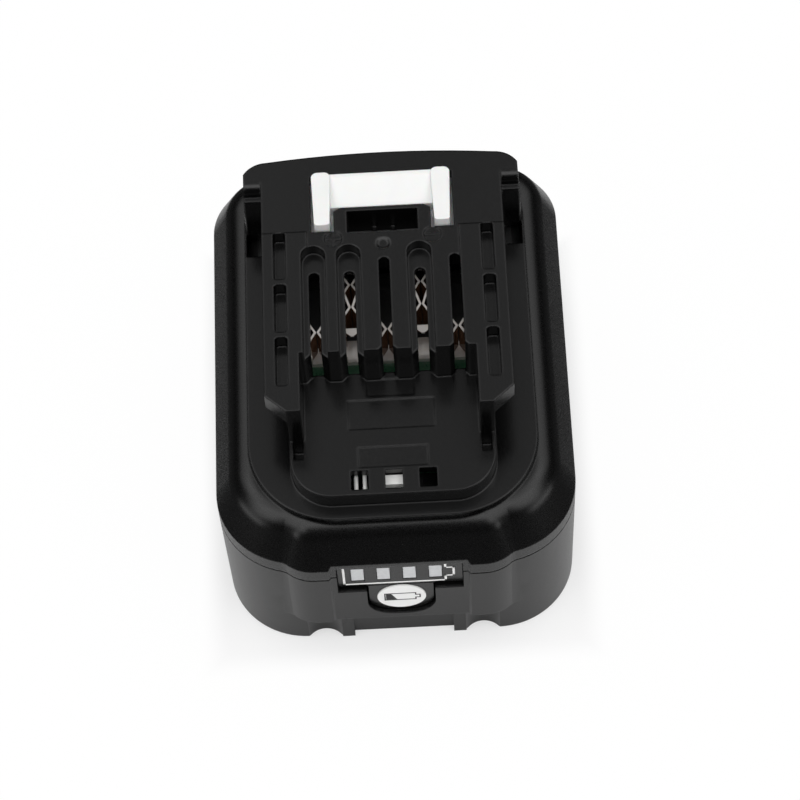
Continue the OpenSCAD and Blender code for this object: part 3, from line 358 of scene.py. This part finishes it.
# Battery sign on the button, and the charge in it, which narrows from its foot to its top
SIGN_X_MM = (-3.1, 2.6)
SIGN_HALF_MM = 1.3
SIGN_NUB_MM = (0.8, 1.1)
SIGN_LINE_MM = 0.24
CHARGE_LEFT_MM = -2.9
CHARGE_FOOT_MM = -0.9
CHARGE_TOP_MM = -1.9
CHARGE_HALF_MM = 1.1


def add_prints():
    bezel_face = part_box("gauge_bezel")[0].y
    gauge = battery_outline(GAUGE_X_MM, GAUGE_Z_MM, GAUGE_NUB_MM, GAUGE_LINE_MM)
    ink("gauge_print", gauge, bezel_face, "print_white", "pack")
    low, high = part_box("button_disc")
    middle = (low.z + high.z) / 2 / MM
    sign_z = (middle - SIGN_HALF_MM, middle + SIGN_HALF_MM)
    sign = battery_outline(SIGN_X_MM, sign_z, SIGN_NUB_MM, SIGN_LINE_MM)
    ink("button_print", sign, low.y, "ink_black", "button")
    foot_z = middle - CHARGE_HALF_MM
    top_z = middle + CHARGE_HALF_MM
    charge = [
        (CHARGE_LEFT_MM, foot_z), (CHARGE_FOOT_MM, foot_z), (CHARGE_TOP_MM, top_z), (CHARGE_LEFT_MM, top_z),
    ]
    ink("button_print_charge", [charge], low.y, "ink_black", "button")


# Studio: white sheet under the pack, dim room, soft windows overhead

FLOOR_REACH = 3.0
FLOOR_GAP = 0.05 * MM
FLOOR_ROUGH = 0.9
FLOOR_CORNERS = ((-1, -1), (1, -1), (1, 1), (-1, 1))
# Distances from the middle between which the mirrored sheet fades; it ends SHEET_SLIM times nearer in X
SHEET_M = (0.066, 0.086)
SHEET_SLIM = 1.3
SHEET_WHITE = (0.92, 0.92, 0.92)
TABLE_DARK = (0.04, 0.04, 0.04)
# Share of plain white in what the camera sees, beside the pack and SHADOW_M away from it
CAMERA_GLOW = (0.5, 0.97)
SHADOW_M = 0.006
# In reflections, share of the sheet's white near the pack, and the sheet's own light
MIRROR_SHEET = 0.76
MIRROR_GLOW = 0.05


def soft_step(tree, value, start, stop, low, high, at):
    ramp = add_node(tree, "ShaderNodeMapRange", at, From_Min=start, From_Max=stop, To_Min=low, To_Max=high)
    ramp.interpolation_type = "SMOOTHSTEP"
    tree.links.new(value, ramp.inputs["Value"])
    return ramp.outputs["Result"]


def add_floor():
    """Floor that is a white sheet to the camera, and to reflections a sheet that ends around the pack.

    It is clear from below."""
    mesh = bpy.data.meshes.new("floor")
    corners = [(x * FLOOR_REACH, y * FLOOR_REACH, -FLOOR_GAP) for x, y in FLOOR_CORNERS]
    mesh.from_pydata(corners, [], [(0, 1, 2, 3)])
    floor = bpy.data.objects.new("floor", mesh)
    scene.collection.objects.link(floor)
    material = bpy.data.materials.new("floor_white")
    material.use_nodes = True
    tree = material.node_tree
    shader = tree.nodes["Principled BSDF"]
    shader.inputs["Roughness"].default_value = FLOOR_ROUGH
    place = add_node(tree, "ShaderNodeTexCoord", (-1400, 0)).outputs["Object"]
    axes = add_node(tree, "ShaderNodeSeparateXYZ", (-1200, 0))
    tree.links.new(place, axes.inputs["Vector"])
    across = join(tree, "ABSOLUTE", axes.outputs["X"], 0.0, (-1000, 100))
    along = join(tree, "ABSOLUTE", axes.outputs["Y"], 0.0, (-1000, -100))
    widened = join(tree, "MULTIPLY", across, SHEET_SLIM, (-800, 100))
    away = join(tree, "MAXIMUM", widened, along, (-800, 0))
    sheet = soft_step(tree, away, SHEET_M[0], SHEET_M[1], MIRROR_SHEET, 0.0, (-600, 0))
    beside = join(tree, "SUBTRACT", across, cad_box[1].x, (-800, 900))
    before = join(tree, "SUBTRACT", along, cad_box[1].y, (-800, 700))
    gap = join(tree, "MAXIMUM", beside, before, (-600, 800))
    bright = soft_step(tree, gap, 0.0, SHADOW_M, CAMERA_GLOW[0], CAMERA_GLOW[1], (-400, 800))
    path = add_node(tree, "ShaderNodeLightPath", (-800, 500))
    glossy = path.outputs["Is Glossy Ray"]
    mirror = join(tree, "MAXIMUM", glossy, path.outputs["Is Transmission Ray"], (-600, 400))
    table = join(tree, "SUBTRACT", 1.0, sheet, (-600, 200))
    beyond = join(tree, "MULTIPLY", mirror, table, (-400, 200))
    colour = mix_colours(tree, beyond, SHEET_WHITE, TABLE_DARK, (-200, 100))
    tree.links.new(colour, shader.inputs["Base Color"])
    glow = add_node(tree, "ShaderNodeEmission", (-200, -300), Strength=1.0)
    mirrored_sheet = join(tree, "MULTIPLY", mirror, sheet, (-400, 400))
    mirror_share = join(tree, "MULTIPLY", mirrored_sheet, MIRROR_GLOW, (-200, 400))
    camera_share = join(tree, "MULTIPLY", path.outputs["Is Camera Ray"], bright, (-200, 600))
    share = join(tree, "MAXIMUM", camera_share, mirror_share, (0, 400))
    blend = add_node(tree, "ShaderNodeMixShader", (200, 0))
    tree.links.new(share, blend.inputs["Fac"])
    tree.links.new(shader.outputs["BSDF"], blend.inputs[1])
    tree.links.new(glow.outputs["Emission"], blend.inputs[2])
    from_below = add_node(tree, "ShaderNodeNewGeometry", (0, -300)).outputs["Backfacing"]
    clear = add_node(tree, "ShaderNodeBsdfTransparent", (0, -600))
    one_sided = add_node(tree, "ShaderNodeMixShader", (400, 0))
    tree.links.new(from_below, one_sided.inputs["Fac"])
    tree.links.new(blend.outputs["Shader"], one_sided.inputs[1])
    tree.links.new(clear.outputs["BSDF"], one_sided.inputs[2])
    output = tree.nodes["Material Output"]
    output.location = (600, 0)
    tree.links.new(one_sided.outputs["Shader"], output.inputs["Surface"])
    mesh.materials.append(material)


ROOM_DIM = 0.012
WINDOW_ROW = 250
# Direction, angles in degrees from full to none, and strength of each soft window; side ones are mirrored
MIDDLE_WINDOWS = [
    ((0.0, -0.34, 0.94), (4.0, 22.0), 2.2),
    ((0.0, 0.60, 0.80), (10.0, 30.0), 0.38),
]
SIDE_WINDOWS = [
    ((0.38, 0.10, 0.92), (3.0, 24.0), 1.4),
    ((0.58, -0.36, 0.73), (6.0, 30.0), 2.0),
    ((0.90, -0.42, 0.12), (6.0, 26.0), 1.0),
    ((0.48, 0.48, 0.73), (6.0, 28.0), 1.2),
]


def add_room():
    """Dim room with soft windows above the pack, white where the camera sees it."""
    world = bpy.data.worlds.new("studio")
    world.use_nodes = True
    tree = world.node_tree
    place = add_node(tree, "ShaderNodeTexCoord", (-1000, 0)).outputs["Generated"]
    windows = list(MIDDLE_WINDOWS)
    for (x, y, z), angles, strength in SIDE_WINDOWS:
        windows += [((side * x, y, z), angles, strength) for side in (-1, 1)]
    total = ROOM_DIM
    for row, (towards, angles, strength) in enumerate(windows):
        height = -WINDOW_ROW * row
        turn = add_node(tree, "ShaderNodeVectorMath", (-800, height))
        turn.operation = "DOT_PRODUCT"
        turn.inputs[1].default_value = Vector(towards).normalized()
        tree.links.new(place, turn.inputs[0])
        near, far = (math.cos(math.radians(angle)) for angle in angles)
        light = soft_step(tree, turn.outputs["Value"], far, near, 0.0, strength, (-600, height))
        total = join(tree, "ADD", light, total, (-400, height))
    seen = add_node(tree, "ShaderNodeLightPath", (-400, 300)).outputs["Is Camera Ray"]
    total = join(tree, "MAXIMUM", total, seen, (-200, 0))
    background = tree.nodes["Background"]
    background.inputs["Color"].default_value = (1.0, 1.0, 1.0, 1.0)
    tree.links.new(total, background.inputs["Strength"])
    scene.world = world


# Lamp in front of the gauge that gloss doesn't show, and cards beside the front corners that only gloss shows
FILL_AT = Vector((0.0, -0.6, 0.22))
FILL_AIM = Vector((0.0, 0.0, 0.02))
FILL_SIZE = (0.5, 0.5)
FILL_WATTS = 0.7
CARD_AT = Vector((0.096, -0.064, 0.036))
CARD_AIM = Vector((0.033, -0.035, 0.036))
CARD_SIZE = (0.06, 0.022)
CARD_GLOW = 1.1


def add_lamp(name, at, aim, size, watts):
    data = bpy.data.lights.new(name, "AREA")
    data.shape = "RECTANGLE"
    data.size, data.size_y = size
    data.energy = watts
    lamp = bpy.data.objects.new(name, data)
    lamp.location = at
    lamp.rotation_euler = (aim - at).to_track_quat("-Z", "Y").to_euler()
    scene.collection.objects.link(lamp)
    return lamp


def add_lamps():
    fill = add_lamp("front_fill", FILL_AT, FILL_AIM, FILL_SIZE, FILL_WATTS)
    fill.visible_glossy = False
    watts = CARD_GLOW * math.pi * CARD_SIZE[0] * CARD_SIZE[1]
    for name, side in (("left_card", -1), ("right_card", 1)):
        mirror = Vector((side, 1, 1))
        card = add_lamp(name, CARD_AT * mirror, CARD_AIM * mirror, CARD_SIZE, watts)
        card.visible_camera = False
        card.visible_diffuse = False


def add_studio():
    add_floor()
    add_room()
    add_lamps()
    scene.view_settings.view_transform = "Standard"


add_camera()
dress_nodes()
add_springs()
add_prints()
add_studio()
